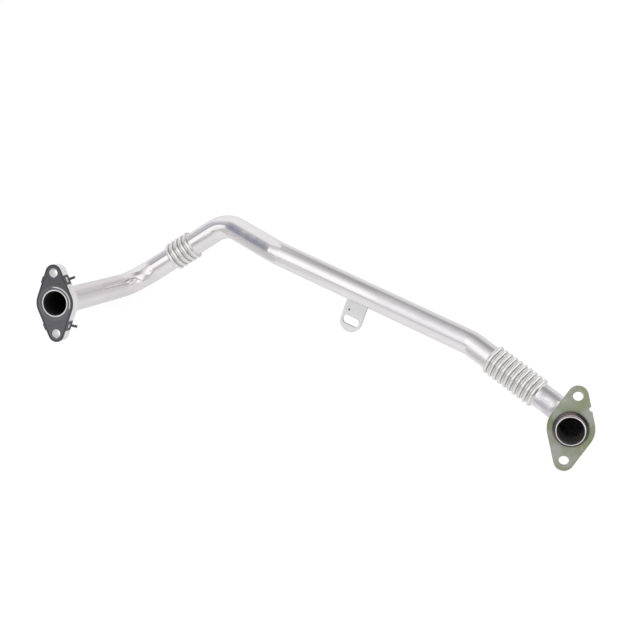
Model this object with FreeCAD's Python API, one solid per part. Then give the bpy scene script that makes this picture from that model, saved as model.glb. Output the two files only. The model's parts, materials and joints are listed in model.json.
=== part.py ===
"""Exhaust gas recirculation pipe: one bent tube with two formed bellows, a thick
two-bolt flange with its sheet gasket at one mouth, a stamped two-bolt plate at the
other, and a slotted support tab welded to the long run.

All sizes are millimetres. The pipe lies as it comes to rest: on the lower lobes of
both flanges and on the elbow behind the thick one. Both mouths face -Y, the long run
goes along +X, and +Z is up. The origin is the middle of the base of the whole part.
"""
import FreeCAD, Part
import math
import os

from FreeCAD import Placement, Rotation, Vector

# Tube
TUBE_OD = 24.0
WALL = 1.2
BEND_RADIUS = 30.0

# Where the straight runs of the tube's centre line would cross
FLANGE_MOUTH = Vector(0.0, -169.0, 36.0)
ELBOW = Vector(1.9, 30.7, 8.4)
CREST_BEND = Vector(89.0, 34.1, 99.5)
KNUCKLE = Vector(155.7, 2.6, 92.5)
SWEEP_BEND = Vector(369.7, -30.5, 67.8)
PLATE_ELBOW = Vector(479.4, -67.1, 35.9)
PLATE_MOUTH = Vector(479.5, -115.0, 40.8)

# Bellows, formed in the wall of the tube itself
WAVE_PITCH = 5.8
WAVE_HEIGHT = 3.2
CREST_SHARE = 0.42
SHORT_BELLOWS_WAVES = 5
SHORT_BELLOWS_START = 54.2
LONG_BELLOWS_WAVES = 10
LONG_BELLOWS_START = 24.2

# Tube end in the thick flange: its rim is flared to hold it and stands just proud
FLARE = 0.5
FLARE_DEPTH = 1.2
RIM_PROUD = 0.3
RIM_CHAMFER = 0.3
BRAZE_GAP = 0.05

# Tube end in the plate: a wider spigot with one bead on each side of the plate
SPIGOT_STEP = 1.5
SPIGOT_LENGTH = 8.0
SPIGOT_CHAMFER = 0.4
SPIGOT_TAPER = 5.0
BEAD_WIDTH = 3.6
BEAD_HEIGHT = 2.9
PLATE_FIT = 0.05

# Thick flange
BLOCK_THICKNESS = 13.0
BLOCK_BOLT_SPACING = 56.0
BLOCK_HOLE = 8.4
BLOCK_LOBE_RADIUS = 7.6
BLOCK_BELLY_WALL = 5.8
BLOCK_REAR_ROUND = 1.6
BLOCK_FRONT_CHAMFER = 0.4
BLOCK_ROLL = -16.0
BLOCK_WELD = 2.2
WELD_FULLNESS = 0.6
WELD_GAP = 0.02

# Gasket
SHEET = 0.5
GASKET_MARGIN = 0.2
GASKET_HOLE = 8.2
GASKET_NOTCH_DEPTH = 0.8
GASKET_NOTCH_WIDTH = 4.2
GASKET_CLEARANCE = 0.4
EMBOSS_LIP = 1.0
EMBOSS_WIDTH = 2.1
EMBOSS_HEIGHT = 0.5
TIE_STUB_OFFSET = 21.8
TIE_STUB_LENGTH = 6.5
TIE_STUB_HEIGHT = 1.1
TIE_STUB_ROUND = 0.6
CLIP_OFFSET = 21.3
CLIP_WIDTH = 9.0
CLIP_REACH = 9.5
CLIP_GAP = 0.15
CLIP_ROOT = 1.8
CLIP_FOLD_ROUND = 0.45
CLIP_WINDOW_WIDTH = 4.8
CLIP_WINDOW_LENGTH = 6.0
CLIP_WINDOW_START = 2.0
PRONG_WIDTH = 2.4
PRONG_LENGTH = 5.6
PRONG_FLARE = 54.0

# Stamped plate
PLATE_THICKNESS = 5.0
PLATE_BOLT_SPACING = 61.0
PLATE_HOLE = 9.4
PLATE_LOBE_RADIUS = 9.4
PLATE_BELLY_RADIUS = 21.6
PLATE_EDGE_ROUND = 0.6
PLATE_ROLL = -4.0
NOTCH_HEIGHT = 21.5
NOTCH_RADIUS = 2.9
NOTCH_DEPTH = 2.3

# Support tab
TAB_POSITION = 93.6
TAB_WIDTH = 23.0
TAB_SHEET = 3.0
TAB_SLOT_DROP = 37.2
TAB_SLOT_LENGTH = 18.3
TAB_SLOT_WIDTH = 9.0
TAB_SADDLE_ANGLE = 30.0
TAB_WELD = 1.7
TAB_WELD_LENGTH = 18.0
DIMPLE_RADIUS = 1.2
DIMPLE_DEPTH = 0.9
DIMPLE_RISE = 10.8
DIMPLE_SHIFT = -5.6

TUBE_RADIUS = TUBE_OD / 2
SPIGOT_RADIUS = TUBE_RADIUS + SPIGOT_STEP
BLOCK_BELLY_RADIUS = TUBE_RADIUS + BLOCK_BELLY_WALL
GASKET_BORE_RADIUS = TUBE_RADIUS + FLARE + GASKET_CLEARANCE
EMBOSS_INNER = GASKET_BORE_RADIUS + EMBOSS_LIP
EMBOSS_OUTER = EMBOSS_INNER + EMBOSS_WIDTH
ORIGIN = Vector(0, 0, 0)
UP = Vector(0, 0, 1)
ROUTE = [FLANGE_MOUTH, ELBOW, CREST_BEND, KNUCKLE, SWEEP_BEND, PLATE_ELBOW, PLATE_MOUTH]


def direction(start, end):
    """Unit vector from one point to another."""
    return (end - start).normalize()


def line(start, end):
    return Part.LineSegment(start, end).toShape()


def chain(points):
    """Straight edges through a row of points."""
    return [line(a, b) for a, b in zip(points, points[1:])]


def arc(centre, radius, first, last, place):
    """Arc between two angles in degrees; place(x, y) gives the point in space."""
    def at(angle):
        turn = math.radians(angle)
        return place(centre[0] + radius * math.cos(turn), centre[1] + radius * math.sin(turn))
    return Part.Arc(at(first), at((first + last) / 2), at(last)).toShape()


def half_plane(z, r):
    """Point of a turned profile: z along the axis, r from it."""
    return Vector(r, 0, z)


def flat(x, y):
    """Point of an outline drawn on the local face."""
    return Vector(x, y, 0)


def face_of(edges):
    return Part.Face(Part.Wire(Part.__sortEdges__(edges)))


def turned(edges):
    """Full revolve of a closed profile about the local Z axis."""
    return face_of(edges).revolve(ORIGIN, UP, 360)


def at_line(shape, start, heading):
    """Moves a turned shape so that its axis starts at a point and runs along a heading."""
    shape.Placement = Placement(start, Rotation(UP, heading))
    return shape


class Mouth:
    """Local frame of a tube end: z out of the mouth, y towards the upper bolt."""

    def __init__(self, centre, out, roll):
        level = (UP - out * UP.dot(out)).normalize()
        side = level.cross(out)
        turn = math.radians(roll)
        self.out = out
        self.centre = centre
        self.up = level * math.cos(turn) + side * math.sin(turn)
        self.side = self.up.cross(out)

    def put(self, shape):
        """Carries a shape modelled about the local origin to this mouth."""
        shape.Placement = Placement(self.centre, Rotation(self.side, self.up, self.out, "ZXY"))
        return shape


class Bend:
    """Arc of the centre line at one corner of the route."""

    def __init__(self, before, corner, after):
        self.heading = direction(before, corner)
        self.leaving = direction(corner, after)
        self.angle = self.heading.getAngle(self.leaving)
        setback = BEND_RADIUS * math.tan(self.angle / 2)
        self.start = corner - self.heading * setback
        self.end = corner + self.leaving * setback
        self.axis = self.heading.cross(self.leaving).normalize()
        self.centre = self.start + self.axis.cross(self.heading) * BEND_RADIUS

    def tube(self):
        """Hollow bend: the ring section swung about the bend's centre."""
        ring = at_line(ring_section(TUBE_RADIUS), self.start, self.heading)
        return ring.revolve(self.centre, self.axis, math.degrees(self.angle))


def ring_section(radius):
    outer = Part.Wire(Part.makeCircle(radius))
    inner = Part.Wire(Part.makeCircle(radius - WALL))
    return Part.Face([outer, inner])


def wave_edges(start, count, side):
    """Bellows wall: tangent crest and root arcs, side +1 for the outer face, -1 for the inner."""
    half = WAVE_PITCH / 2
    middle = TUBE_RADIUS - WALL / 2
    both_radii = (half ** 2 + WAVE_HEIGHT ** 2) / (2 * WAVE_HEIGHT)
    crest_radius = both_radii * CREST_SHARE
    root_radius = both_radii - crest_radius
    sweep = math.degrees(2 * math.atan(WAVE_HEIGHT / half))
    crest = crest_radius + side * WALL / 2
    root = root_radius - side * WALL / 2
    root_level = middle + root_radius
    crest_level = middle + WAVE_HEIGHT - crest_radius
    edges = []
    for k in range(count):
        z = start + k * WAVE_PITCH
        edges.append(arc((z, root_level), root, -90, -90 + sweep, half_plane))
        edges.append(arc((z + half, crest_level), crest, 90 + sweep, 90 - sweep, half_plane))
        edges.append(arc((z + WAVE_PITCH, root_level), root, -90 - sweep, -90, half_plane))
    return edges


def run_side(length, waves, start, side):
    """One side of a straight run's wall, with its bellows if it has any."""
    radius = TUBE_RADIUS - WALL / 2 + side * WALL / 2
    if not waves:
        return chain([half_plane(0, radius), half_plane(length, radius)])
    end = start + waves * WAVE_PITCH
    edges = chain([half_plane(0, radius), half_plane(start, radius)])
    edges += wave_edges(start, waves, side)
    edges += chain([half_plane(end, radius), half_plane(length, radius)])
    return edges


def straight_run(start, end, waves=0, wave_start=0.0):
    """Straight tube between two bends, with bellows wave_start along it."""
    length = start.distanceToPoint(end)
    edges = run_side(length, waves, wave_start, 1) + run_side(length, waves, wave_start, -1)
    for z in (0, length):
        edges += chain([half_plane(z, TUBE_RADIUS - WALL), half_plane(z, TUBE_RADIUS)])
    return at_line(turned(edges), start, direction(start, end))


def flared_profile(gap):
    """Outer face of the flared tube end inside the thick flange, opened out by a gap."""
    radius = TUBE_RADIUS + gap
    return [
        half_plane(-FLARE_DEPTH, radius),
        half_plane(-FLARE_DEPTH + FLARE, radius + FLARE),
    ]


def flared_end(mouth, bend):
    """Tube end held in the thick flange; local z = 0 is the flange's face."""
    rear = -mouth.centre.distanceToPoint(bend.start)
    rim = TUBE_RADIUS + FLARE
    bore = TUBE_RADIUS - WALL
    profile = [half_plane(rear, TUBE_RADIUS)] + flared_profile(0) + [
        half_plane(RIM_PROUD - RIM_CHAMFER, rim),
        half_plane(RIM_PROUD, rim - RIM_CHAMFER),
        half_plane(RIM_PROUD, bore + FLARE),
        half_plane(-FLARE_DEPTH + FLARE, bore + FLARE),
        half_plane(-FLARE_DEPTH, bore),
        half_plane(rear, bore),
        half_plane(rear, TUBE_RADIUS),
    ]
    return mouth.put(turned(chain(profile)))


def bead(z):
    """Round-topped bead on the spigot, starting at z and going towards the mouth."""
    round_top = BEAD_WIDTH / 2
    shoulder = SPIGOT_RADIUS + BEAD_HEIGHT - round_top
    return [
        line(half_plane(z, SPIGOT_RADIUS), half_plane(z, shoulder)),
        arc((z + round_top, shoulder), round_top, 180, 0, half_plane),
        line(half_plane(z + BEAD_WIDTH, shoulder), half_plane(z + BEAD_WIDTH, SPIGOT_RADIUS)),
    ]


def spigot_end(mouth, bend):
    """Tube end widened to the spigot, with the beads that hold the plate between them."""
    rear = -mouth.centre.distanceToPoint(bend.end)
    shoulder = -PLATE_THICKNESS - BEAD_WIDTH
    neck = shoulder - SPIGOT_TAPER
    bore = SPIGOT_RADIUS - WALL
    edges = chain([
        half_plane(rear, TUBE_RADIUS),
        half_plane(neck, TUBE_RADIUS),
        half_plane(shoulder, SPIGOT_RADIUS),
    ])
    edges += bead(shoulder)
    edges += chain([half_plane(-PLATE_THICKNESS, SPIGOT_RADIUS), half_plane(0, SPIGOT_RADIUS)])
    edges += bead(0)
    edges += chain([
        half_plane(BEAD_WIDTH, SPIGOT_RADIUS),
        half_plane(SPIGOT_LENGTH - SPIGOT_CHAMFER, SPIGOT_RADIUS),
        half_plane(SPIGOT_LENGTH, SPIGOT_RADIUS - SPIGOT_CHAMFER),
        half_plane(SPIGOT_LENGTH, bore),
        half_plane(shoulder, bore),
        half_plane(neck, TUBE_RADIUS - WALL),
        half_plane(rear, TUBE_RADIUS - WALL),
        half_plane(rear, TUBE_RADIUS),
    ])
    return mouth.put(turned(edges))


def lobed_edges(spacing, lobe_radius, belly_radius):
    """Two-bolt flange outline: two lobes and a round belly joined by tangent lines."""
    lobe = spacing / 2
    lean = math.degrees(math.asin((belly_radius - lobe_radius) / lobe))

    def on(centre_y, radius, angle):
        turn = math.radians(angle)
        return flat(radius * math.cos(turn), centre_y + radius * math.sin(turn))

    edges = [
        arc((0, lobe), lobe_radius, lean, 180 - lean, flat),
        arc((0, -lobe), lobe_radius, 180 + lean, 360 - lean, flat),
        arc((0, 0), belly_radius, -lean, lean, flat),
        arc((0, 0), belly_radius, 180 - lean, 180 + lean, flat),
    ]
    for angle in (lean, 180 - lean):
        edges.append(line(on(lobe, lobe_radius, angle), on(0, belly_radius, angle)))
        edges.append(line(on(-lobe, lobe_radius, -angle), on(0, belly_radius, -angle)))
    return edges


def edge_point(spacing, lobe_radius, belly_radius, height):
    """Where the right-hand tangent edge of a lobed outline passes a height above the centre."""
    lobe = spacing / 2
    lean = math.asin((belly_radius - lobe_radius) / lobe)
    reach = (belly_radius - abs(height) * math.sin(lean)) / math.cos(lean)
    outward = flat(math.cos(lean), math.copysign(math.sin(lean), height))
    return flat(reach, height), outward


def bolt_centres(spacing):
    return [flat(0, spacing / 2), flat(0, -spacing / 2)]


def block_flange():
    """Thick flange: rounded at the back, bored for the tube, modelled with its face at z = 0."""
    outline = face_of(lobed_edges(BLOCK_BOLT_SPACING, BLOCK_LOBE_RADIUS, BLOCK_BELLY_RADIUS))
    body = outline.extrude(Vector(0, 0, -BLOCK_THICKNESS))
    rear = [e for e in body.Edges if abs(e.CenterOfMass.z + BLOCK_THICKNESS) < 1e-6]
    front = [e for e in body.Edges if abs(e.CenterOfMass.z) < 1e-6]
    body = body.makeFillet(BLOCK_REAR_ROUND, rear)
    body = body.makeChamfer(BLOCK_FRONT_CHAMFER, edges_at(body, front))
    body = body.cut(block_bore())
    depth = Vector(0, 0, -BLOCK_THICKNESS)
    for centre in bolt_centres(BLOCK_BOLT_SPACING):
        body = body.cut(Part.makeCylinder(BLOCK_HOLE / 2, BLOCK_THICKNESS, centre + depth))
    return body


def block_bore():
    """Cutter for the flange's bore, which follows the flared tube end."""
    profile = [half_plane(-BLOCK_THICKNESS, 0), half_plane(-BLOCK_THICKNESS, TUBE_RADIUS + BRAZE_GAP)]
    profile += flared_profile(BRAZE_GAP)
    profile += [half_plane(0, TUBE_RADIUS + FLARE + BRAZE_GAP), half_plane(0, 0)]
    return turned(chain(profile + profile[:1]))


def edges_at(body, wanted):
    """Edges of a body whose middles match those of the wanted edges."""
    middles = [e.CenterOfMass for e in wanted]
    return [e for e in body.Edges
            if any(e.CenterOfMass.distanceToPoint(m) < 1e-4 for m in middles)]


def block_weld():
    """Fillet of weld metal between the tube and the back of the thick flange."""
    back = -BLOCK_THICKNESS
    seat = TUBE_RADIUS + WELD_GAP
    corner = half_plane(back, seat)
    toe_on_flange = half_plane(back, seat + BLOCK_WELD)
    toe_on_tube = half_plane(back - BLOCK_WELD, seat)
    rise = BLOCK_WELD * WELD_FULLNESS
    crown = half_plane(back - rise, seat + rise)
    edges = chain([toe_on_tube, corner, toe_on_flange])
    edges.append(Part.Arc(toe_on_flange, crown, toe_on_tube).toShape())
    return turned(edges)


def gasket_emboss():
    """Lip round the bore of the gasket and the bead pressed outside it, a wave of the sheet."""
    slope = EMBOSS_WIDTH / 3
    top = (EMBOSS_INNER + slope, EMBOSS_OUTER - slope)
    profile = [
        half_plane(0, GASKET_BORE_RADIUS),
        half_plane(SHEET, GASKET_BORE_RADIUS),
        half_plane(SHEET, EMBOSS_INNER),
        half_plane(SHEET + EMBOSS_HEIGHT, top[0]),
        half_plane(SHEET + EMBOSS_HEIGHT, top[1]),
        half_plane(SHEET, EMBOSS_OUTER),
        half_plane(0, EMBOSS_OUTER),
        half_plane(EMBOSS_HEIGHT, top[1]),
        half_plane(EMBOSS_HEIGHT, top[0]),
        half_plane(0, EMBOSS_INNER),
    ]
    return turned(chain(profile + profile[:1]))


def gasket_clip(height):
    """Ear of the gasket folded back along the flange's side, with a window and a prong."""
    lobe = (BLOCK_BOLT_SPACING, BLOCK_LOBE_RADIUS, BLOCK_BELLY_RADIUS)
    root, outward = edge_point(*lobe, height)
    along = Vector(0, 0, 1).cross(outward)
    fold = CLIP_GAP + SHEET
    strip = chain([
        Vector(-CLIP_ROOT, 0, 0),
        Vector(-CLIP_ROOT, 0, SHEET),
        Vector(fold, 0, SHEET),
        Vector(fold, 0, -CLIP_REACH),
        Vector(CLIP_GAP, 0, -CLIP_REACH),
        Vector(CLIP_GAP, 0, 0),
        Vector(-CLIP_ROOT, 0, 0),
    ])
    ear = face_of(strip).extrude(Vector(0, CLIP_WIDTH, 0))
    ear.translate(Vector(0, -CLIP_WIDTH / 2, 0))
    bend_edge = [e for e in ear.Edges
                 if abs(e.CenterOfMass.x - fold) < 1e-6 and abs(e.CenterOfMass.z - SHEET) < 1e-6]
    ear = ear.makeFillet(CLIP_FOLD_ROUND, bend_edge)
    window = Part.makeBox(fold + CLIP_GAP, CLIP_WINDOW_WIDTH, CLIP_WINDOW_LENGTH,
                          Vector(0, -CLIP_WINDOW_WIDTH / 2, -CLIP_WINDOW_START - CLIP_WINDOW_LENGTH))
    ear = ear.cut(window)
    prong = Part.makeBox(SHEET, PRONG_WIDTH, PRONG_LENGTH,
                         Vector(-SHEET, -PRONG_WIDTH / 2, -PRONG_LENGTH))
    prong.rotate(ORIGIN, Vector(0, 1, 0), -PRONG_FLARE)
    prong.translate(Vector(fold, 0, -CLIP_REACH + SHEET))
    ear = ear.fuse(prong)
    ear.Placement = Placement(root, Rotation(outward, along, Vector(0, 0, 1), "ZXY"))
    return ear


def gasket_hole(centre):
    """Bolt hole with a small V at its lower side."""
    round_hole = Part.makeCylinder(GASKET_HOLE / 2, SHEET, centre)
    tip = -GASKET_HOLE / 2 - GASKET_NOTCH_DEPTH
    shoulder = -GASKET_HOLE / 4
    corners = [flat(-GASKET_NOTCH_WIDTH / 2 - GASKET_NOTCH_DEPTH, shoulder),
               flat(GASKET_NOTCH_WIDTH / 2 + GASKET_NOTCH_DEPTH, shoulder),
               flat(0, tip)]
    notch = face_of(chain(corners + corners[:1])).extrude(Vector(0, 0, SHEET))
    notch.translate(centre)
    return round_hole.fuse(notch)


def gasket_stub(height):
    """Low stub on the left edge where the gasket was sheared from its strip."""
    lobe = (BLOCK_BOLT_SPACING, BLOCK_LOBE_RADIUS, BLOCK_BELLY_RADIUS + GASKET_MARGIN)
    root, outward = edge_point(*lobe, height)
    root.x = -root.x
    outward.x = -outward.x
    along = Vector(0, 0, 1).cross(outward)
    stub = Part.makeBox(2 * TIE_STUB_HEIGHT, TIE_STUB_LENGTH, SHEET,
                        Vector(-TIE_STUB_HEIGHT, -TIE_STUB_LENGTH / 2, 0))
    corners = [e for e in stub.Edges
               if abs(e.CenterOfMass.x - TIE_STUB_HEIGHT) < 1e-6
               and abs(e.CenterOfMass.z - SHEET / 2) < 1e-6]
    stub = stub.makeFillet(TIE_STUB_ROUND, corners)
    stub.Placement = Placement(root, Rotation(outward, along, Vector(0, 0, 1), "ZXY"))
    return stub


def gasket():
    """Sheet gasket that lies on the thick flange's face, clipped over its right-hand side."""
    outline = face_of(lobed_edges(BLOCK_BOLT_SPACING, BLOCK_LOBE_RADIUS + GASKET_MARGIN,
                                  BLOCK_BELLY_RADIUS + GASKET_MARGIN))
    sheet = outline.extrude(Vector(0, 0, SHEET))
    for centre in bolt_centres(BLOCK_BOLT_SPACING):
        sheet = sheet.cut(gasket_hole(centre))
    sheet = sheet.cut(Part.makeCylinder(EMBOSS_OUTER, SHEET))
    pieces = [gasket_emboss()]
    pieces += [gasket_clip(h) for h in (CLIP_OFFSET, -CLIP_OFFSET)]
    pieces += [gasket_stub(h) for h in (TIE_STUB_OFFSET, -TIE_STUB_OFFSET)]
    return sheet.fuse(pieces).removeSplitter()


def plate_flange():
    """Stamped plate with its face at z = 0, bored to sit between the spigot's beads."""
    lobe = (PLATE_BOLT_SPACING, PLATE_LOBE_RADIUS, PLATE_BELLY_RADIUS)
    body = face_of(lobed_edges(*lobe)).extrude(Vector(0, 0, -PLATE_THICKNESS))
    front = [e for e in body.Edges if abs(e.CenterOfMass.z) < 1e-6]
    body = body.makeFillet(PLATE_EDGE_ROUND, front)
    depth = Vector(0, 0, -PLATE_THICKNESS)
    body = body.cut(Part.makeCylinder(SPIGOT_RADIUS + PLATE_FIT, PLATE_THICKNESS, depth))
    for centre in bolt_centres(PLATE_BOLT_SPACING):
        body = body.cut(Part.makeCylinder(PLATE_HOLE / 2, PLATE_THICKNESS, centre + depth))
    rim, outward = edge_point(*lobe, NOTCH_HEIGHT)
    seat = rim - outward * (NOTCH_DEPTH - NOTCH_RADIUS)
    round_end = Part.makeCylinder(NOTCH_RADIUS, PLATE_THICKNESS, seat + depth)
    along = Vector(0, 0, 1).cross(outward)
    slot = Part.makeBox(2 * NOTCH_DEPTH, 2 * NOTCH_RADIUS, PLATE_THICKNESS,
                        Vector(0, -NOTCH_RADIUS, -PLATE_THICKNESS))
    slot.Placement = Placement(seat, Rotation(outward, along, Vector(0, 0, 1), "ZXY"))
    return body.cut(round_end.fuse(slot))


class TabFrame:
    """Local frame of the support tab: x along the run, y down, z away from the mouths."""

    def __init__(self):
        run = direction(KNUCKLE, SWEEP_BEND)
        down = -(UP - run * UP.dot(run)).normalize()
        self.centre = KNUCKLE + run * TAB_POSITION
        self.rotation = Rotation(run, down, run.cross(down), "ZXY")

    def put(self, shape):
        shape.Placement = Placement(self.centre, self.rotation)
        return shape


def tab_section():
    """Cross-section of the tab: a saddle round the back of the tube, then a straight leg."""
    seat = TUBE_RADIUS + BRAZE_GAP
    back = seat + TAB_SHEET
    foot = TAB_SLOT_DROP + TAB_WIDTH / 2

    def place(z, y):
        return Vector(0, y, z)

    saddle = math.radians(TAB_SADDLE_ANGLE)
    edges = [
        arc((0, 0), seat, -TAB_SADDLE_ANGLE, 0, place),
        arc((0, 0), back, -TAB_SADDLE_ANGLE, 0, place),
        line(place(seat * math.cos(saddle), -seat * math.sin(saddle)),
             place(back * math.cos(saddle), -back * math.sin(saddle))),
    ]
    edges += chain([place(seat, 0), place(seat, foot), place(back, foot), place(back, 0)])
    return face_of(edges)


def tab_outline():
    """Front view of the tab, as a prism through it: straight sides and a half-round end."""
    half = TAB_WIDTH / 2
    top = -TUBE_RADIUS - TAB_SHEET
    corners = [(half, TAB_SLOT_DROP), (half, top), (-half, top), (-half, TAB_SLOT_DROP)]
    edges = chain([flat(x, y) for x, y in corners])
    edges.append(arc((0, TAB_SLOT_DROP), half, 0, 180, flat))
    return face_of(edges).extrude(Vector(0, 0, TUBE_RADIUS + 2 * TAB_SHEET))


def slot_cutter():
    """Slot along the run, as a prism through the tab."""
    radius = TAB_SLOT_WIDTH / 2
    reach = TAB_SLOT_LENGTH / 2 - radius
    edges = [
        arc((reach, TAB_SLOT_DROP), radius, -90, 90, flat),
        arc((-reach, TAB_SLOT_DROP), radius, 90, 270, flat),
        line(flat(-reach, TAB_SLOT_DROP - radius), flat(reach, TAB_SLOT_DROP - radius)),
        line(flat(-reach, TAB_SLOT_DROP + radius), flat(reach, TAB_SLOT_DROP + radius)),
    ]
    return face_of(edges).extrude(Vector(0, 0, TUBE_RADIUS + 2 * TAB_SHEET))


def tab():
    """Support tab with its slot and the small dimple above it."""
    strip = tab_section().extrude(Vector(TAB_WIDTH, 0, 0))
    strip.translate(Vector(-TAB_WIDTH / 2, 0, 0))
    body = strip.common(tab_outline())
    body = body.cut(slot_cutter())
    centre = Vector(DIMPLE_SHIFT, TAB_SLOT_DROP - DIMPLE_RISE,
                    TUBE_RADIUS + BRAZE_GAP + DIMPLE_DEPTH - DIMPLE_RADIUS)
    return body.cut(Part.makeSphere(DIMPLE_RADIUS, centre))


def tab_welds(tab_body):
    """Weld beads along the saddle's upper edge and in the crevice under the tube."""
    half_bead = TAB_WELD / 2
    reach = TUBE_RADIUS + half_bead
    saddle = math.radians(TAB_SADDLE_ANGLE)
    crevice = TUBE_RADIUS + BRAZE_GAP - half_bead
    drop = math.sqrt(reach ** 2 - crevice ** 2)
    start = -TAB_WELD_LENGTH / 2
    along = Vector(1, 0, 0)
    upper = Vector(start, -reach * math.sin(saddle), reach * math.cos(saddle))
    lower = Vector(start, drop, crevice)
    tube = Part.makeCylinder(TUBE_RADIUS + WELD_GAP, 2 * TAB_WIDTH, Vector(-TAB_WIDTH, 0, 0), along)
    beads = [Part.makeCylinder(TAB_WELD, TAB_WELD_LENGTH, centre, along) for centre in (upper, lower)]
    beads = [b.cut(tube).cut(tab_body) for b in beads]
    solids = [max(b.Solids, key=lambda s: s.Volume) for b in beads]
    return Part.makeCompound(solids)


def pipe(flange_mouth, plate_mouth):
    """The tube from mouth to mouth, as one solid."""
    bends = [Bend(a, b, c) for a, b, c in zip(ROUTE, ROUTE[1:], ROUTE[2:])]
    parts = [flared_end(flange_mouth, bends[0]), spigot_end(plate_mouth, bends[-1])]
    parts += [bend.tube() for bend in bends]
    bellows = {0: (SHORT_BELLOWS_WAVES, SHORT_BELLOWS_START), 3: (LONG_BELLOWS_WAVES, LONG_BELLOWS_START)}
    for k, (before, after) in enumerate(zip(bends, bends[1:])):
        waves, from_corner = bellows.get(k, (0, 0.0))
        setback = before.end.distanceToPoint(ROUTE[k + 1])
        parts.append(straight_run(before.end, after.start, waves, from_corner - setback))
    whole = parts[0].fuse(parts[1:]).removeSplitter()
    return whole.Solids[0]


def model():
    """All pieces by node name, before the part is set on its base."""
    flange_out = direction(ELBOW, FLANGE_MOUTH)
    plate_out = direction(PLATE_ELBOW, PLATE_MOUTH)
    flange_mouth = Mouth(FLANGE_MOUTH, flange_out, BLOCK_ROLL)
    plate_mouth = Mouth(PLATE_MOUTH - plate_out * SPIGOT_LENGTH, plate_out, PLATE_ROLL)
    tab_frame = TabFrame()
    tab_body = tab()
    welds = tab_welds(tab_body)
    return {
        "pipe": pipe(flange_mouth, plate_mouth),
        "block_flange": flange_mouth.put(block_flange()),
        "flange_weld": flange_mouth.put(block_weld()),
        "gasket": flange_mouth.put(gasket()),
        "plate_flange": plate_mouth.put(plate_flange()),
        "support_tab": tab_frame.put(tab_body),
        "tab_weld": tab_frame.put(welds),
    }


def set_on_base(shapes):
    """Moves every piece so that the origin is the middle of the base."""
    box = Part.makeCompound(list(shapes.values())).optimalBoundingBox(False, False)
    shift = Vector(-(box.XMin + box.XMax) / 2, -(box.YMin + box.YMax) / 2, -box.ZMin)
    for shape in shapes.values():
        shape.translate(shift)
    return shift


def main():
    os.makedirs("parts", exist_ok=True)
    shapes = model()
    set_on_base(shapes)
    for name, shape in shapes.items():
        shape.exportStep(f"parts/{name}.step")


main()
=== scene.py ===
"""Studio picture of the exhaust gas recirculation pipe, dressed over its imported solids.

Lengths are metres in the part's own frame. Materials read object coordinates, which are
that frame, because every solid's object sits at the origin.
"""

import json
import math

import bpy
from mathutils import Matrix, Vector

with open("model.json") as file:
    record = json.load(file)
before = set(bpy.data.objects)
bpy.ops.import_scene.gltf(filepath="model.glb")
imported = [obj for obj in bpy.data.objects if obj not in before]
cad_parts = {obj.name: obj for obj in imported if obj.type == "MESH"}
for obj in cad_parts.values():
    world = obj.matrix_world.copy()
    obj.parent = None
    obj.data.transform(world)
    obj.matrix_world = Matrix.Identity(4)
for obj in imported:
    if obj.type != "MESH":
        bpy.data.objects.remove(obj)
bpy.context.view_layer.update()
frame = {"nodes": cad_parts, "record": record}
NODES = frame["nodes"]
MOUNTS = {m["name"]: m for m in frame["record"]["mounts"]}

MM = 0.001

# Camera, solved from the photograph's own points
CAMERA_AT = Vector((0.18050, -1.12832, 0.42735))
CAMERA_LOOK = Vector((-0.16325, 0.93766, -0.30684))
CAMERA_UP = Vector((-0.27760, 0.25479, 0.92629))
CAMERA_LENS = 70.31

# Sizes that the materials follow, in millimetres
TUBE_RADIUS = 12.0
TUBE_BORE = 10.8
RIM_POLISH = 11.6
BEND_RADIUS = 30.0
CREST_RADIUS = 15.2
SPIGOT_BORE = 12.3
SPIGOT_RADIUS = 13.5
BEAD_END = 3.6
TAPER_LENGTH = 5.0
TAPER_END = 13.6
EMBOSS_INNER = 13.9
EMBOSS_OUTER = 16.0

# Corners of the tube's centre line, measured from the middle of the thick flange's face
ELBOW = Vector((1.9, 199.7, -27.6))
CREST_BEND = Vector((89.0, 203.1, 63.5))
KNUCKLE = Vector((155.7, 171.6, 56.5))
SWEEP_BEND = Vector((369.7, 138.5, 31.8))
PLATE_ELBOW = Vector((479.4, 101.9, -0.1))
SHORT_BELLOWS = (54.2, 83.2)
LONG_BELLOWS = (24.2, 82.2)

FLANGE_FACE = Vector(MOUNTS["thick_flange_bolts"]["pos_m"])
FLANGE_OUT = Vector(MOUNTS["thick_flange_bolts"]["axis"]).normalized()
PLATE_FACE = Vector(MOUNTS["plate_bolts"]["pos_m"])
PLATE_OUT = Vector(MOUNTS["plate_bolts"]["axis"]).normalized()
TAB_SLOT = Vector(MOUNTS["tab_slot"]["pos_m"])
TAB_OUT = Vector(MOUNTS["tab_slot"]["axis"]).normalized()
TAB_ALONG = (SWEEP_BEND - KNUCKLE).normalized()
PUNCH_MARK = TAB_SLOT + (TAB_OUT.cross(TAB_ALONG) * 10.8 - TAB_ALONG * 5.6) * MM

# Outline of the gasket: lobe and belly circles in the flange's own axes
GASKET_ROLL = math.radians(-16.0)
GASKET_LOBE = 7.8
GASKET_BELLY = 18.0
GASKET_REACH = 28.0

# Painted bluish reflection on the crest run: the way it faces
BLUE_REFLECTION_FACING = Vector((-0.379, -0.872, 0.31))

# Scratched, duller patch on the long run, with painted shade on its facing side: where it starts and ends
# along the run, and the way it faces
DULL_RUN = (98.0, 124.0, 211.5, 213.5)
SHADE_FACING = Vector((-0.085, -0.887, 0.454))

# Soot in the two mouths, as a black copy of painted shade and a grey copy of painted light
SHADED_SOOT = (0.012, 0.012, 0.012)
LIT_SOOT = (0.075, 0.074, 0.072)

# Grey spots of painted reflection on the plate: place from the middle of its face, and size in millimetres
REFLECTION_SPOTS = (((0.013, 0.0, 0.016), 11.0), ((-0.008, 0.0, -0.024), 12.0), ((-0.015, 0.0, 0.009), 8.0))


def corner(offset):
    return FLANGE_FACE + offset * MM


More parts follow.
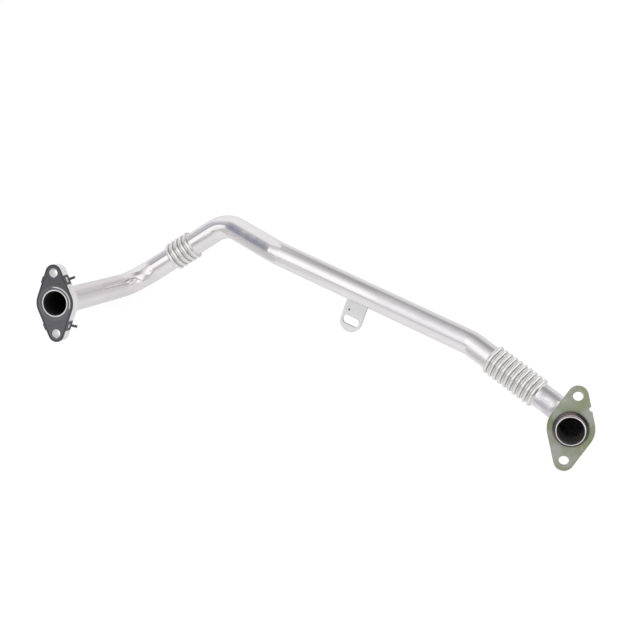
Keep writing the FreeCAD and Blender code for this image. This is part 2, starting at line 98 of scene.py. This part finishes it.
class Graph:
    """Small helper that adds and links shader nodes."""

    def __init__(self, tree):
        self.tree = tree

    def node(self, kind, **settings):
        made = self.tree.nodes.new(kind)
        for key, value in settings.items():
            setattr(made, key, value)
        return made

    def link(self, source, target):
        self.tree.links.new(source, target)

    def feed(self, socket, value):
        """Links a socket's output, or sets a plain value."""
        if isinstance(value, bpy.types.NodeSocket):
            self.link(value, socket)
        else:
            socket.default_value = value

    def math(self, operation, a, b=0.0, clamp=False):
        made = self.node("ShaderNodeMath", operation=operation, use_clamp=clamp)
        self.feed(made.inputs[0], a)
        self.feed(made.inputs[1], b)
        return made.outputs[0]

    def vector(self, operation, a, b=(0.0, 0.0, 0.0)):
        made = self.node("ShaderNodeVectorMath", operation=operation)
        self.feed(made.inputs[0], a)
        self.feed(made.inputs[1], b)
        return made.outputs["Value"] if operation in ("DOT_PRODUCT", "LENGTH") else made.outputs[0]

    def place(self):
        return self.node("ShaderNodeTexCoord").outputs["Object"]

    def ramp(self, value, stops, interpolation="LINEAR"):
        made = self.node("ShaderNodeValToRGB")
        band = made.color_ramp
        band.interpolation = interpolation
        while len(band.elements) < len(stops):
            band.elements.new(0.5)
        for element, (position, colour) in zip(band.elements, stops):
            element.position = position
            element.color = (*colour, 1.0) if len(colour) == 3 else colour
        self.feed(made.inputs[0], value)
        return made.outputs[0]

    def step(self, value, low, high):
        """0 below low, 1 above high, smooth between; falls instead where high is below low."""
        made = self.node("ShaderNodeMapRange", interpolation_type="SMOOTHSTEP")
        rising = high > low
        self.feed(made.inputs["Value"], value)
        made.inputs["From Min"].default_value = min(low, high)
        made.inputs["From Max"].default_value = max(low, high)
        made.inputs["To Min"].default_value = 0.0 if rising else 1.0
        made.inputs["To Max"].default_value = 1.0 if rising else 0.0
        return made.outputs[0]

    def noise(self, place, scale, detail=3.0, roughness=0.55, stretch=(1.0, 1.0, 1.0)):
        mapped = self.vector("MULTIPLY", place, stretch)
        made = self.node("ShaderNodeTexNoise")
        self.link(mapped, made.inputs["Vector"])
        made.inputs["Scale"].default_value = scale
        made.inputs["Detail"].default_value = detail
        made.inputs["Roughness"].default_value = roughness
        return made.outputs[0]

    def mix(self, share, a, b):
        made = self.node("ShaderNodeMix", data_type="RGBA")
        self.feed(made.inputs[0], share)
        for socket, value in ((made.inputs[6], a), (made.inputs[7], b)):
            if isinstance(value, tuple):
                value = (*value, 1.0)
            self.feed(socket, value)
        return made.outputs[2]

    def mix_value(self, share, a, b):
        made = self.node("ShaderNodeMix", data_type="FLOAT")
        self.feed(made.inputs[0], share)
        self.feed(made.inputs[2], a)
        self.feed(made.inputs[3], b)
        return made.outputs[0]

    def along(self, place, start, heading):
        """Millimetres along an axis, and from it, for a point in the part's frame."""
        offset = self.vector("SUBTRACT", place, tuple(start))
        along = self.math("MULTIPLY", self.vector("DOT_PRODUCT", offset, tuple(heading)), 1000.0)
        across = self.vector("CROSS_PRODUCT", offset, tuple(heading))
        away = self.math("MULTIPLY", self.vector("LENGTH", across), 1000.0)
        return along, away

    def within(self, value, low, high, soft):
        """1 between low and high, with soft ends."""
        rise = self.step(value, low - soft, low)
        fall = self.step(value, high + soft, high)
        return self.math("MULTIPLY", rise, fall)

    def bump(self, height, strength, distance):
        made = self.node("ShaderNodeBump")
        made.inputs["Strength"].default_value = strength
        made.inputs["Distance"].default_value = distance
        self.link(height, made.inputs["Height"])
        return made.outputs[0]


def new_material(name):
    material = bpy.data.materials.new(name)
    material.use_nodes = True
    tree = material.node_tree
    tree.nodes.clear()
    graph = Graph(tree)
    shader = graph.node("ShaderNodeBsdfPrincipled")
    output = graph.node("ShaderNodeOutputMaterial")
    graph.link(shader.outputs[0], output.inputs[0])
    return material, graph, shader


def product(graph, *shares):
    total = shares[0]
    for share in shares[1:]:
        total = graph.math("MULTIPLY", total, share)
    return total


def bend_lining(g, place):
    """1 on the tube's inner face round the last bend before the plate, 0 on its outer face."""
    before = (corner(PLATE_ELBOW) - corner(SWEEP_BEND)).normalized()
    after = PLATE_OUT
    across = before.cross(after).normalized()
    inward = (after - before).normalized()
    reach = BEND_RADIUS * MM / math.cos(before.angle(after) / 2)
    offset = g.vector("SUBTRACT", place, tuple(corner(PLATE_ELBOW) + inward * reach))
    height = g.vector("DOT_PRODUCT", offset, tuple(across))
    height_squared = g.math("MULTIPLY", height, height)
    square = g.vector("DOT_PRODUCT", offset, offset)
    planar = g.math("SQRT", g.math("SUBTRACT", square, height_squared))
    radial = g.math("SUBTRACT", planar, BEND_RADIUS * MM)
    gap = g.math("SQRT", g.math("ADD", g.math("MULTIPLY", radial, radial), height_squared))
    gap = g.math("MULTIPLY", gap, 1000.0)
    from_corner = g.vector("LENGTH", g.vector("SUBTRACT", place, tuple(corner(PLATE_ELBOW))))
    return product(g, g.step(gap, TUBE_BORE + 0.6, TUBE_BORE + 0.3), g.step(from_corner, 0.030, 0.026))


def towards(g, place, start, facing):
    """How far a point lies from start towards a heading, as a share of the tube's radius."""
    offset = g.vector("SUBTRACT", place, tuple(start))
    return g.vector("DOT_PRODUCT", offset, tuple(facing / (TUBE_RADIUS * MM)))


def near_run(g, place, start, end):
    """Millimetres along the tube's run from one corner to the next, and from its axis."""
    heading = (corner(end) - corner(start)).normalized()
    return g.along(place, corner(start), heading)


def handling_scuffs(g, place, colour, rough):
    """Short dark smears along the tube."""
    scuff = g.noise(place, 260.0, 4.0, 0.65, (0.35, 1.0, 1.0))
    patch = g.step(g.noise(place, 16.0, 2.0), 0.55, 0.68)
    scuffs = g.math("MULTIPLY", g.step(scuff, 0.60, 0.68), patch)
    colour = g.mix(g.math("MULTIPLY", scuffs, 0.45), colour, (0.42, 0.42, 0.45))
    return colour, g.mix_value(scuffs, rough, 0.38)


def crest_reflection(g, place, colour):
    """Painted bluish reflection on one side of the run after the crest bend."""
    run, away = near_run(g, place, CREST_BEND, KNUCKLE)
    facing = towards(g, place, corner(CREST_BEND), BLUE_REFLECTION_FACING)
    # Painted reflection: a bluish band on the side of the run that faces the listed way
    tint = product(g, g.within(run, 16.0, 62.0, 10.0), g.step(away, 20.0, 16.0),
                   g.step(facing, 0.90, 0.975), g.step(g.noise(place, 46.0, 4.0), 0.22, 0.52))
    return g.mix(g.math("MULTIPLY", tint, 0.78), colour, (0.46, 0.475, 0.56))


def scratched_shaded_patch(g, place, colour, rough):
    """Finely scratched, duller patch on the long run, ending at the ring where the sweep bend starts, greyed
    by painted shade on its facing side.
    """
    run = near_run(g, place, KNUCKLE, SWEEP_BEND)[0]
    facing = towards(g, place, corner(KNUCKLE), SHADE_FACING)
    # Painted shade: grey over the side that faces the listed way, broken up by the fine scratches
    grey = product(g, g.step(run, DULL_RUN[0], DULL_RUN[1]), g.step(run, DULL_RUN[3], DULL_RUN[2]),
                   g.step(facing, 0.80, 0.93))
    hair = g.step(g.noise(place, 420.0, 3.0, 0.7, (0.25, 1.0, 1.0)), 0.44, 0.66)
    share = g.math("MULTIPLY", grey, g.mix_value(hair, 0.12, 0.40))
    return g.mix(share, colour, (0.62, 0.62, 0.66)), g.mix_value(grey, rough, 0.34)


def leg_tones(g, place, colour, rough):
    """Pale collar behind the thick flange, rosy from there to the elbow, with painted shade on its upper
    side.
    """
    heading = (corner(ELBOW) - FLANGE_FACE).normalized()
    run, away = g.along(place, FLANGE_FACE, heading)
    leg = g.step(away, 40.0, 30.0)
    rosy = product(g, leg, g.within(run, 94.0, 185.0, 6.0), g.step(g.noise(place, 24.0, 3.0), 0.28, 0.60))
    colour = g.mix(g.math("MULTIPLY", rosy, 0.6), colour, (0.89, 0.79, 0.80))
    collar = g.math("MULTIPLY", leg, g.within(run, 14.0, 88.0, 8.0))
    colour = g.mix(g.math("MULTIPLY", collar, 0.6), colour, (0.94, 0.915, 0.935))
    side = (Vector((0, 0, 1)) - heading * heading.z).normalized()
    rise = towards(g, place, FLANGE_FACE, side)
    # Painted shade: the leg's upper side is darker
    upper_shade = product(g, leg, g.step(rise, -0.15, 0.45), g.within(run, 14.0, 150.0, 12.0))
    colour = g.mix(g.math("MULTIPLY", upper_shade, 0.62), colour, (0.66, 0.615, 0.63))
    return colour, g.mix_value(collar, rough, 0.27)


def stub_smears(g, place, colour, rough):
    """Worn, darker smears on the short stub before the plate."""
    run, away = near_run(g, place, SWEEP_BEND, PLATE_ELBOW)
    stub = g.math("MULTIPLY", g.step(run, 82.5, 84.5), g.step(away, 20.0, 16.0))
    smear = g.step(g.noise(place, 130.0, 3.0, 0.6, (0.5, 1.0, 1.0)), 0.42, 0.60)
    colour = g.mix(product(g, stub, smear, 0.55), colour, (0.50, 0.495, 0.55))
    return colour, g.mix_value(g.math("MULTIPLY", stub, smear), rough, 0.26)


def bellows_flank_shade(g, place, colour, rough):
    """Painted shade: dark flanks between paler roots and crests on both sets of bellows."""
    bellows = ((ELBOW, CREST_BEND, SHORT_BELLOWS), (SWEEP_BEND, PLATE_ELBOW, LONG_BELLOWS))
    for start, end, (low, high) in bellows:
        run, away = near_run(g, place, start, end)
        close = g.step(away, CREST_RADIUS + 3.0, CREST_RADIUS + 1.0)
        near = product(g, g.within(run, low, high, 1.2), close)
        height = g.math("DIVIDE", g.math("SUBTRACT", away, TUBE_RADIUS), CREST_RADIUS - TUBE_RADIUS)
        # Painted shade on the flanks, halfway between root and crest
        flank_shade = g.ramp(height, [(0.10, (0.78, 0.755, 0.75)), (0.34, (0.74, 0.715, 0.71)),
                               (0.50, (0.47, 0.45, 0.445)), (0.66, (0.72, 0.70, 0.695)),
                               (0.90, (0.85, 0.83, 0.825))])
        colour = g.mix(near, colour, flank_shade)
        rough = g.mix_value(near, rough, 0.13)
    return colour, rough


def flared_mouth(g, place, colour):
    """Polished rim of the flared mouth, and the share of soot behind it."""
    depth, away = g.along(place, FLANGE_FACE, FLANGE_OUT)
    rim = product(g, g.step(depth, -0.3, -0.05), g.step(away, 13.5, 12.9))
    lip = product(g, g.step(away, RIM_POLISH + 0.1, RIM_POLISH - 0.15), g.step(depth, -5.0, -4.0))
    colour = g.mix(rim, colour, (0.90, 0.89, 0.88))
    soot = product(g, g.step(away, TUBE_BORE + 0.75, TUBE_BORE + 0.35), g.step(depth, -0.2, -1.0),
                   g.step(depth, -165.0, -150.0))
    return colour, g.math("MAXIMUM", soot, lip)


def spigot_tones(g, place, colour, rough):
    """Bead in front of the plate, heat tinted with a painted dark reflection that is black on its upper side;
    the pale barrel, with painted shade in its groove.
    """
    depth, away = g.along(place, PLATE_FACE, PLATE_OUT)
    bead = product(g, g.within(depth, 0.0, BEAD_END, 0.2),
                   g.step(away, SPIGOT_RADIUS, SPIGOT_RADIUS + 0.2), g.step(away, 19.0, 17.0))
    # Partly heat tint, partly a painted dark reflection: near-black and brown tones on the bead
    burnt_and_reflection = g.mix(g.step(g.noise(place, 70.0, 2.0), 0.38, 0.66), (0.016, 0.015, 0.018), (0.125, 0.085, 0.080))
    colour = g.mix(g.math("MULTIPLY", bead, 0.92), colour, burnt_and_reflection)
    # Painted dark reflection: the bead's upper side goes black
    lean = g.vector("DOT_PRODUCT", g.vector("SUBTRACT", place, tuple(PLATE_FACE)), (500.0, 0.0, 870.0))
    dark_reflection = g.math("MULTIPLY", bead, g.step(lean, 12.5, 15.0))
    colour = g.mix(g.math("MULTIPLY", dark_reflection, 0.8), colour, (0.012, 0.012, 0.014))
    rough = g.mix_value(bead, rough, 0.42)
    outer = g.step(away, SPIGOT_RADIUS + 0.6, SPIGOT_RADIUS + 0.3)
    # Painted shade: the groove round the barrel is dark
    groove_shade = product(g, g.within(depth, 5.9, 7.0, 0.3),
                     g.step(away, SPIGOT_RADIUS - 0.4, SPIGOT_RADIUS - 0.15), outer)
    barrel = product(g, g.step(depth, BEAD_END, BEAD_END + 0.2),
                     g.step(away, SPIGOT_BORE + 0.4, SPIGOT_BORE + 0.6), outer)
    colour = g.mix(barrel, colour, (0.93, 0.90, 0.89))
    colour = g.mix(g.math("MULTIPLY", groove_shade, 0.9), colour, (0.07, 0.06, 0.06))
    return colour, g.mix_value(barrel, rough, 0.42)


def spigot_lining(g, place):
    """1 on the spigot's inner face, which follows its taper down to the tube's bore."""
    depth, away = g.along(place, PLATE_FACE, PLATE_OUT)
    widening = g.math("DIVIDE", g.math("ADD", depth, TAPER_END), TAPER_LENGTH, clamp=True)
    bore = g.math("ADD", g.math("MULTIPLY", widening, SPIGOT_BORE - TUBE_BORE), TUBE_BORE)
    return product(g, g.step(g.math("SUBTRACT", away, bore), 0.6, 0.35), g.step(depth, -18.0, -16.0))


def tube_steel():
    """Drawn stainless tube with formed bellows, sooty mouths, faint heat tint, and painted reflections and
    shade on its runs, bellows and bead.
    """
    material, g, shader = new_material("tube_steel")
    place = g.place()

    colour = g.mix(g.noise(place, 38.0, 4.0), (0.765, 0.742, 0.756), (0.875, 0.852, 0.863))
    rough = g.mix_value(g.noise(place, 90.0, 5.0, 0.7), 0.06, 0.15)
    colour, rough = handling_scuffs(g, place, colour, rough)
    colour = crest_reflection(g, place, colour)
    colour, rough = scratched_shaded_patch(g, place, colour, rough)
    colour, rough = leg_tones(g, place, colour, rough)
    colour, rough = stub_smears(g, place, colour, rough)
    colour, rough = bellows_flank_shade(g, place, colour, rough)
    colour, soot = flared_mouth(g, place, colour)
    colour, rough = spigot_tones(g, place, colour, rough)

    # Soot is painted black as shade behind the thick flange, and greyer as painted light behind the plate,
    # towards +X
    soot = g.math("MAXIMUM", soot, spigot_lining(g, place))
    soot = g.math("MAXIMUM", soot, bend_lining(g, place))
    sideways = g.vector("DOT_PRODUCT", place, (1.0, 0.0, 0.0))
    colour = g.mix(soot, colour, g.mix(g.step(sideways, 0.0, 0.1), SHADED_SOOT, LIT_SOOT))
    rough = g.mix_value(soot, rough, 0.75)

    g.link(colour, shader.inputs["Base Color"])
    g.link(rough, shader.inputs["Roughness"])
    g.link(g.math("SUBTRACT", 1.0, g.math("MULTIPLY", soot, 0.9)), shader.inputs["Metallic"])
    fine = g.noise(place, 900.0, 2.0, 0.5)
    g.link(g.bump(fine, 0.05, 0.0004), shader.inputs["Normal"])
    return material


def flange_steel():
    """Pale machined flange: fine tooling grain on a tumbled surface."""
    material, g, shader = new_material("flange_steel")
    place = g.place()
    colour = g.mix(g.noise(place, 55.0, 4.0), (0.81, 0.80, 0.81), (0.93, 0.92, 0.93))
    g.link(colour, shader.inputs["Base Color"])
    g.link(g.mix_value(g.noise(place, 240.0, 4.0), 0.30, 0.46), shader.inputs["Roughness"])
    shader.inputs["Metallic"].default_value = 0.9
    grain = g.noise(place, 1400.0, 3.0, 0.6)
    g.link(g.bump(grain, 0.10, 0.0004), shader.inputs["Normal"])
    return material


def weld_steel():
    """Weld metal: ripples, a straw and brown tint and a duller skin."""
    material, g, shader = new_material("weld_steel")
    place = g.place()
    tint = g.noise(place, 120.0, 4.0)
    colour = g.ramp(tint, [(0.30, (0.40, 0.33, 0.28)), (0.50, (0.62, 0.58, 0.54)),
                           (0.70, (0.74, 0.73, 0.73))])
    g.link(colour, shader.inputs["Base Color"])
    g.link(g.mix_value(g.noise(place, 300.0, 3.0), 0.34, 0.55), shader.inputs["Roughness"])
    shader.inputs["Metallic"].default_value = 0.9
    ripple = g.noise(place, 650.0, 2.0, 0.5, (1.0, 0.5, 0.5))
    g.link(g.bump(ripple, 0.35, 0.0006), shader.inputs["Normal"])
    return material


def outline_line(g, aside, rise):
    """1 on a thin line just inside the gasket's outline, from its distance to belly, flank and lobe."""
    slant = (GASKET_BELLY - GASKET_LOBE) / GASKET_REACH
    flank = math.sqrt(1 - slant * slant)
    position = g.math("SUBTRACT", g.math("MULTIPLY", rise, flank), g.math("MULTIPLY", aside, slant))
    to_flank = g.math("ADD", g.math("MULTIPLY", aside, flank), g.math("MULTIPLY", rise, slant))
    to_flank = g.math("SUBTRACT", to_flank, GASKET_BELLY)
    square = g.math("MULTIPLY", aside, aside)
    to_belly = g.math("SQRT", g.math("ADD", square, g.math("MULTIPLY", rise, rise)))
    to_belly = g.math("SUBTRACT", to_belly, GASKET_BELLY)
    above = g.math("SUBTRACT", rise, GASKET_REACH)
    to_lobe = g.math("SQRT", g.math("ADD", square, g.math("MULTIPLY", above, above)))
    to_lobe = g.math("SUBTRACT", to_lobe, GASKET_LOBE)
    edge = g.mix_value(g.math("GREATER_THAN", position, 0.0), to_belly, to_flank)
    edge = g.mix_value(g.math("GREATER_THAN", position, GASKET_REACH * flank), edge, to_lobe)
    return g.within(edge, -1.45, -0.85, 0.25)


def gasket_coating():
    """Dark rubbery coating on thin sheet, with a painted sheen on the pressed bead and a painted highlight on
    its upper right.
    """
    material, g, shader = new_material("gasket_steel")
    place = g.place()
    depth, away = g.along(place, FLANGE_FACE, FLANGE_OUT)
    colour = g.mix(g.noise(place, 70.0, 4.0), (0.054, 0.052, 0.060), (0.080, 0.077, 0.088))
    flat_up = (Vector((0, 0, 1)) - FLANGE_OUT * FLANGE_OUT.z).normalized()
    flat_side = flat_up.cross(FLANGE_OUT)
    up = flat_up * math.cos(GASKET_ROLL) + flat_side * math.sin(GASKET_ROLL)
    offset = g.vector("SUBTRACT", place, tuple(FLANGE_FACE))
    rise = g.vector("DOT_PRODUCT", offset, tuple(up * 1000))
    aside = g.math("ABSOLUTE", g.vector("DOT_PRODUCT", offset, tuple(up.cross(FLANGE_OUT) * 1000)))
    # Lighter towards the gasket's lower end
    colour = g.mix(g.step(rise, 24.0, -24.0), colour, (0.092, 0.089, 0.104))
    line = outline_line(g, aside, g.math("ABSOLUTE", rise))
    colour = g.mix(g.math("MULTIPLY", line, 0.9), colour, (0.014, 0.013, 0.016))
    speck = g.step(g.noise(place, 1500.0, 2.0), 0.60, 0.72)
    colour = g.mix(g.math("MULTIPLY", speck, 0.3), colour, (0.14, 0.14, 0.15))
    # Painted sheen lightens the pressed bead, which is also smoother
    ring = g.within(away, EMBOSS_INNER + 0.3, EMBOSS_OUTER - 0.1, 0.3)
    # Painted highlight: a light crescent on the bead's upper right
    lean = g.vector("DOT_PRODUCT", g.vector("SUBTRACT", place, tuple(FLANGE_FACE)), (600.0, 0.0, 800.0))
    highlight_crescent = product(g, g.within(away, EMBOSS_INNER + 0.4, EMBOSS_INNER + 1.3, 0.2), g.step(lean, 6.5, 10.5))
    colour = g.mix(g.math("MULTIPLY", ring, 0.25), colour, (0.20, 0.20, 0.21))
    edge = product(g, g.step(depth, 0.42, 0.30), g.step(away, 15.8, 16.4))
    colour = g.mix(g.math("MULTIPLY", edge, 0.6), colour, (0.045, 0.044, 0.048))
    colour = g.mix(highlight_crescent, colour, (0.60, 0.59, 0.61))
    g.link(colour, shader.inputs["Base Color"])
    rough = g.mix_value(ring, g.mix_value(g.noise(place, 200.0, 3.0), 0.42, 0.58), 0.28)
    g.link(rough, shader.inputs["Roughness"])
    shader.inputs["Metallic"].default_value = 0.15
    g.link(g.bump(g.noise(place, 2200.0, 2.0), 0.12, 0.0002), shader.inputs["Normal"])
    return material


def zinc_plate():
    """Olive passivated zinc, clouded with grey, with painted grey reflections on three spots, one towards its
    upper left, and paler streaks.
    """
    material, g, shader = new_material("zinc_plate")
    place = g.place()
    cloud = g.noise(place, 42.0, 5.0, 0.6)
    colour = g.ramp(cloud, [(0.34, (0.175, 0.22, 0.105)), (0.46, (0.245, 0.28, 0.17)),
                            (0.58, (0.29, 0.305, 0.245)), (0.70, (0.355, 0.37, 0.315))])
    # Painted reflection: grey spots on the plate
    for spot, size in REFLECTION_SPOTS:
        offset = g.vector("SUBTRACT", place, tuple(PLATE_FACE + Vector(spot)))
        reach = g.math("MULTIPLY", g.vector("LENGTH", offset), 1000.0)
        reflection_spot = g.math("MULTIPLY", g.step(reach, size, size * 0.3), 0.85)
        colour = g.mix(reflection_spot, colour, (0.36, 0.37, 0.34))
    streak = g.noise(place, 150.0, 3.0, 0.6, (1.0, 1.0, 0.5))
    colour = g.mix(g.math("MULTIPLY", g.step(streak, 0.52, 0.70), 0.35), colour, (0.46, 0.47, 0.41))
    g.link(colour, shader.inputs["Base Color"])
    g.link(g.mix_value(g.noise(place, 180.0, 4.0), 0.36, 0.52), shader.inputs["Roughness"])
    shader.inputs["Metallic"].default_value = 0.55
    g.link(g.bump(g.noise(place, 1100.0, 3.0), 0.10, 0.0003), shader.inputs["Normal"])
    return material


def tab_steel():
    """Matte pickled sheet with faint rolling lines."""
    material, g, shader = new_material("tab_steel")
    place = g.place()
    colour = g.mix(g.noise(place, 60.0, 4.0), (0.74, 0.74, 0.745), (0.85, 0.85, 0.855))
    lines = g.noise(place, 500.0, 3.0, 0.6, (1.0, 1.0, 0.12))
    colour = g.mix(g.math("MULTIPLY", lines, 0.25), colour, (0.66, 0.66, 0.67))
    # Painted shade darkens the sheared edges and the punch mark's pit; the line where the tab meets the tube
    # stays darker too
    normal = g.node("ShaderNodeNewGeometry").outputs["Normal"]
    flat = g.math("ABSOLUTE", g.vector("DOT_PRODUCT", normal, tuple(TAB_OUT)))
    edge_shade = g.step(flat, 0.80, 0.55)
    away = near_run(g, place, KNUCKLE, SWEEP_BEND)[1]
    joint = g.step(away, TUBE_RADIUS + 1.3, TUBE_RADIUS + 0.5)
    colour = g.mix(g.math("MULTIPLY", edge_shade, 0.75), colour, (0.34, 0.34, 0.35))
    colour = g.mix(g.math("MULTIPLY", joint, 0.6), colour, (0.36, 0.35, 0.35))
    to_mark = g.math("MULTIPLY", g.vector("LENGTH", g.vector("SUBTRACT", place, tuple(PUNCH_MARK))), 1000.0)
    colour = g.mix(g.math("MULTIPLY", g.step(to_mark, 2.1, 1.1), 0.8), colour, (0.12, 0.12, 0.125))
    g.link(colour, shader.inputs["Base Color"])
    g.link(g.mix_value(g.noise(place, 220.0, 3.0), 0.42, 0.58), shader.inputs["Roughness"])
    shader.inputs["Metallic"].default_value = 0.65
    g.link(g.bump(lines, 0.08, 0.0003), shader.inputs["Normal"])
    return material


def dress(name, material):
    """Gives a solid its material, in each of its slots."""
    node = NODES[name]
    if not node.material_slots:
        node.data.materials.append(material)
    for slot in node.material_slots:
        slot.material = material


def sky():
    """White for the camera; for everything else a studio tent with a dim roof and a dark gap."""
    world = bpy.data.worlds.new("studio")
    bpy.context.scene.world = world
    world.use_nodes = True
    world.node_tree.nodes.clear()
    g = Graph(world.node_tree)
    way = g.node("ShaderNodeTexCoord").outputs["Generated"]
    parts = g.node("ShaderNodeSeparateXYZ")
    g.link(way, parts.inputs[0])
    front = g.math("MULTIPLY", parts.outputs[1], -1.0)
    turn = g.math("ARCTAN2", parts.outputs[2], front)
    share = g.math("ADD", g.math("DIVIDE", turn, 2 * math.pi), 0.5)

    def tent(levels, tint=(1.0, 1.0, 1.0)):
        stops = [((a + 180) / 360, tuple(v / 2 * t for t in tint)) for a, v in levels]
        return g.ramp(share, stops)

    front_tent = tent([
        (-180, 0.76), (-166, 0.84), (-150, 0.72), (-122, 0.88), (-68, 0.94), (-46, 0.91),
        (-32, 0.85), (-22, 0.66), (-15, 0.58), (-8, 1.02), (2, 1.22), (28, 1.22), (50, 0.86), (70, 0.59),
        (88, 0.43), (100, 0.41), (116, 0.64), (133, 0.82), (155, 0.88), (166, 0.66), (180, 0.76),
    ])
    left_tent = tent([
        (-180, 0.80), (-124, 0.78), (-97, 0.72), (-60, 0.64), (-34, 0.72), (-9, 1.05), (5, 1.20),
        (25, 1.15), (40, 0.88), (54, 0.68), (66, 0.72), (80, 0.90), (92, 0.97), (130, 0.97),
        (160, 0.90), (180, 0.80),
    ])
    right_tent = tent([
        (-180, 0.80), (-130, 0.84), (-60, 0.84), (-35, 0.82), (-14, 0.62), (12, 0.64), (30, 0.84), (45, 1.15),
        (138, 1.15), (160, 0.84), (180, 0.80),
    ])
    # The left panel reaches further round overhead and behind
    overhead = g.math("MULTIPLY", g.step(turn, 1.00, 1.60), 0.26)
    behind = g.math("MULTIPLY", g.step(turn, 2.40, 2.80), 0.16)
    lean = g.math("SUBTRACT", g.math("SUBTRACT", parts.outputs[0], overhead), behind)
    studio = g.mix(g.step(lean, -0.41, -0.53), front_tent, left_tent)
    studio = g.mix(g.step(parts.outputs[0], 0.24, 0.50), studio, right_tent)
    # Beyond it the tent is dimmer, and an upright gap stands between it and the front panel
    beyond = product(g, g.step(parts.outputs[0], -0.82, -0.91), g.within(parts.outputs[2], 0.28, 0.60, 0.10))
    studio = g.mix(g.math("MULTIPLY", beyond, 0.9), studio, (0.29, 0.29, 0.31))
    left = g.math("MULTIPLY", parts.outputs[0], -1.0)
    bearing = g.math("ARCTAN2", front, left)
    gap = product(g, g.within(bearing, 0.37, 0.555, 0.08), g.within(parts.outputs[2], -0.05, 0.20, 0.40))
    studio = g.mix(g.math("MULTIPLY", gap, 0.78), studio, (0.135, 0.135, 0.155))
    lit = g.node("ShaderNodeBackground")
    g.link(studio, lit.inputs[0])
    lit.inputs[1].default_value = 2.0
    white = g.node("ShaderNodeBackground")
    white.inputs[0].default_value = (1, 1, 1, 1)
    white.inputs[1].default_value = 1.0
    pick = g.node("ShaderNodeMixShader")
    g.link(g.node("ShaderNodeLightPath").outputs["Is Camera Ray"], pick.inputs[0])
    g.link(lit.outputs[0], pick.inputs[1])
    g.link(white.outputs[0], pick.inputs[2])
    out = g.node("ShaderNodeOutputWorld")
    g.link(pick.outputs[0], out.inputs[0])


def floor():
    """White floor that keeps a faint shadow and is left out of the metal's reflections."""
    bpy.ops.mesh.primitive_plane_add(size=80.0, location=(0.0, 0.0, 0.0))
    plane = bpy.context.object
    plane.name = "floor"
    material = bpy.data.materials.new("floor")
    material.use_nodes = True
    tree = material.node_tree
    tree.nodes.clear()
    g = Graph(tree)
    matte = g.node("ShaderNodeBsdfDiffuse")
    matte.inputs[0].default_value = (1, 1, 1, 1)
    glow = g.node("ShaderNodeEmission")
    glow.inputs[1].default_value = 1.02
    paths = g.node("ShaderNodeLightPath")
    seen = g.node("ShaderNodeMixShader")
    g.link(g.math("MULTIPLY", paths.outputs["Is Camera Ray"], 0.9), seen.inputs[0])
    g.link(matte.outputs[0], seen.inputs[1])
    g.link(glow.outputs[0], seen.inputs[2])
    clear = g.node("ShaderNodeBsdfTransparent")
    pick = g.node("ShaderNodeMixShader")
    g.link(paths.outputs["Is Glossy Ray"], pick.inputs[0])
    g.link(seen.outputs[0], pick.inputs[1])
    g.link(clear.outputs[0], pick.inputs[2])
    out = g.node("ShaderNodeOutputMaterial")
    g.link(pick.outputs[0], out.inputs[0])
    plane.data.materials.append(material)


def lamp(name, place, size, watts, aim=(0.0, 0.0, 0.03)):
    data = bpy.data.lights.new(name, "AREA")
    data.energy = watts
    data.shape = "SQUARE"
    data.size = size
    made = bpy.data.objects.new(name, data)
    made.location = place
    made.rotation_euler = (Vector(aim) - Vector(place)).to_track_quat("-Z", "Y").to_euler()
    made.visible_glossy = False
    bpy.context.collection.objects.link(made)


def camera():
    data = bpy.data.cameras.new("camera")
    data.lens = CAMERA_LENS
    data.sensor_width = 36.0
    made = bpy.data.objects.new("camera", data)
    look = CAMERA_LOOK.normalized()
    right = look.cross(CAMERA_UP).normalized()
    up = right.cross(look)
    turn = Matrix((right, up, -look)).transposed()
    made.matrix_world = Matrix.Translation(CAMERA_AT) @ turn.to_4x4()
    bpy.context.collection.objects.link(made)
    bpy.context.scene.camera = made


def dress_all():
    welds = weld_steel()
    dress("pipe", tube_steel())
    dress("block_flange", flange_steel())
    dress("flange_weld", welds)
    dress("gasket", gasket_coating())
    dress("plate_flange", zinc_plate())
    dress("support_tab", tab_steel())
    dress("tab_weld", welds)


dress_all()
sky()
floor()
lamp("key", (-0.9, -1.3, 1.6), 0.9, 9.0)
lamp("fill", (1.2, -0.6, 1.0), 0.9, 4.0)
camera()
bpy.context.scene.view_settings.view_transform = "Standard"
